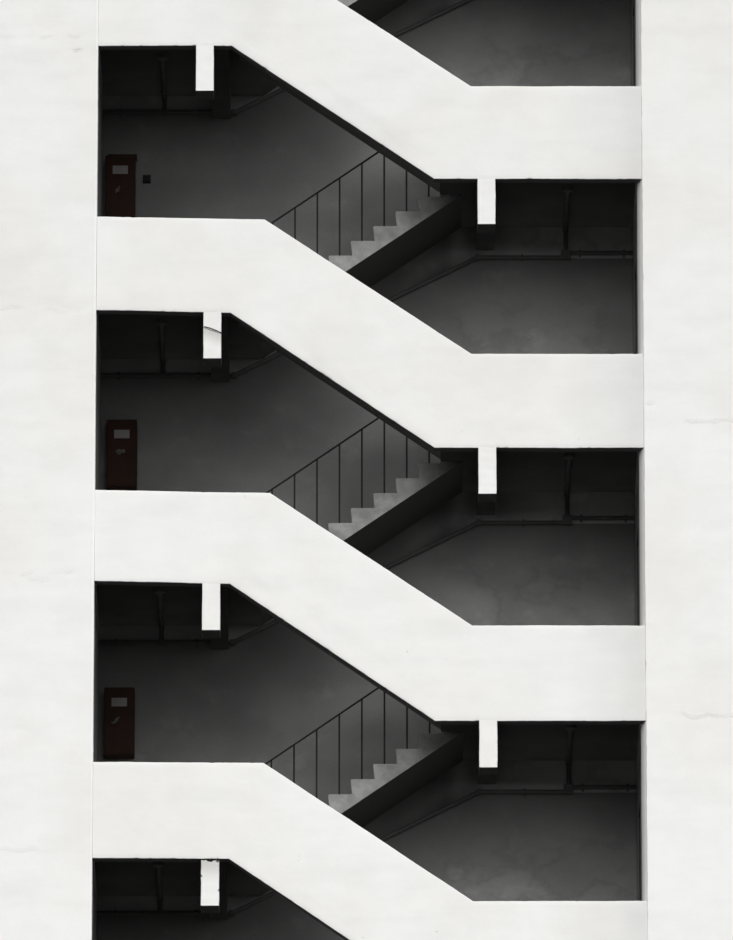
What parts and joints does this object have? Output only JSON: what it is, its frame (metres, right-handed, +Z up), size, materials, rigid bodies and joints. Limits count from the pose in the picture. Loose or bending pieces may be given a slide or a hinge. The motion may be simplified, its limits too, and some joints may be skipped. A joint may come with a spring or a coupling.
{
  "type": "concrete fire escape stair tower",
  "caption": "Open-fronted dog-leg fire escape stair of white painted concrete, with solid stepped parapet bands between two tall walls and landings at every floor.",
  "frame": {"origin": "middle of the footprint, on the ground", "axes": "+Z up, the open front faces -Y, +X to the right seen from the front"},
  "size_m": [8.4, 2.61, 19.2],
  "materials": {
    "white_wall_paint": "matt masonry paint",
    "grey_wall_paint": "matt, dusty",
    "bare_concrete": "matt concrete",
    "step_concrete": "worn pale paint",
    "rail_paint": "dull dark paint",
    "door_paint": "dull dark paint",
    "cabinet_paint": "dull dark red paint",
    "plate_enamel": "blank enamel",
    "conduit_paint": "painted over"
  },
  "bodies": {
    "root": {"ground_slab": "bare_concrete", "left_wall": "grey_wall_paint", "right_wall": "grey_wall_paint", "rear_wall": "grey_wall_paint", "left_wing": "white_wall_paint", "right_wing": "white_wall_paint", "roof": "white_wall_paint", "floor_landing_1": "bare_concrete", "floor_landing_2": "bare_concrete", "floor_landing_3": "bare_concrete", "floor_landing_4": "bare_concrete", "floor_landing_5": "bare_concrete", "half_landing_1": "bare_concrete", "half_landing_2": "bare_concrete", "half_landing_3": "bare_concrete", "half_landing_4": "bare_concrete", "half_landing_5": "bare_concrete", "front_flight_1": "step_concrete", "front_flight_2": "step_concrete", "front_flight_3": "step_concrete", "front_flight_4": "step_concrete", "front_flight_5": "step_concrete", "rear_flight_1": "step_concrete", "rear_flight_2": "step_concrete", "rear_flight_3": "step_concrete", "rear_flight_4": "step_concrete", "rear_flight_5": "step_concrete", "front_band_1": "white_wall_paint", "front_band_2": "white_wall_paint", "front_band_3": "white_wall_paint", "front_band_4": "white_wall_paint", "front_band_5": "white_wall_paint", "top_parapet": "white_wall_paint", "well_rail_1": "rail_paint", "well_rail_2": "rail_paint", "well_rail_3": "rail_paint", "well_rail_4": "rail_paint", "well_rail_5": "rail_paint", "left_stubs": "white_wall_paint", "right_stubs": "white_wall_paint", "fire_doors": "door_paint", "wall_cabinets": "cabinet_paint", "cabinet_plates": "plate_enamel", "conduits": "conduit_paint"}
  },
  "joints": []
}
